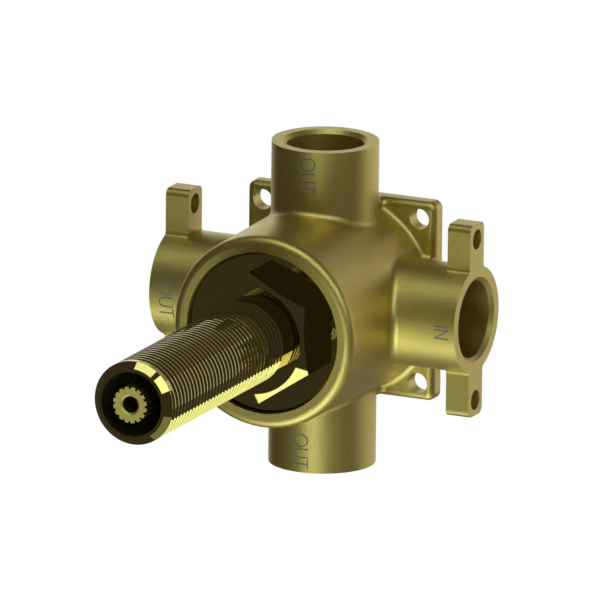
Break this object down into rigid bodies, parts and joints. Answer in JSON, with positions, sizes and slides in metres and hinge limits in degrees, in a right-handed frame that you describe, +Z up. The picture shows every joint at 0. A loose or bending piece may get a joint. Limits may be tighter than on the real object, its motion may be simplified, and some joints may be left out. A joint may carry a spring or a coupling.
{
  "type": "concealed diverter valve",
  "caption": "Built-in brass shower diverter: a drum body with inlet and outlet ports, mounting plate and lugs, and a long threaded barrel with a splined spindle.",
  "frame": {"origin": "middle of the mounting plate's back face, on the spindle axis", "axes": "+X to the inlet port, +Y into the wall, -Y along the spindle to the handle, +Z up"},
  "size_m": [0.0824, 0.1255, 0.0812],
  "materials": {
    "brass_satin": "fine sand-blasted casting",
    "brass_polished": "polished turned brass",
    "rubber_black": "matt moulded",
    "plastic_grey": "fine moulded",
    "plastic_white": "smooth moulded",
    "ceramic_white": "lapped",
    "fibre_black": "matt sheet",
    "spring_steel": "rolled"
  },
  "bodies": {
    "valve": {"valve_body": "brass_satin", "inlet_seal": "rubber_black", "top_outlet_seal": "rubber_black", "left_outlet_seal": "rubber_black", "bottom_outlet_seal": "rubber_black", "cartridge_base": "plastic_grey", "fixed_disc": "ceramic_white", "cartridge_housing": "plastic_grey", "press_ring": "plastic_white", "bonnet_washer": "fibre_black", "bonnet": "brass_polished", "guide_bush": "plastic_white"},
    "spindle": {"turning_disc": "ceramic_white", "disc_driver": "plastic_grey", "slide_ring": "plastic_white", "spindle": "brass_polished", "lower_stem_seal": "rubber_black", "upper_stem_seal": "rubber_black", "thrust_washer": "plastic_white", "retaining_clip": "spring_steel"}
  },
  "joints": [
    {"name": "spindle_turn", "type": "hinge", "parent": "valve", "child": "spindle", "pos_m": [0, -0.05, 0], "axis": [0, 1, 0], "range_deg": [-90, 90]}
  ]
}
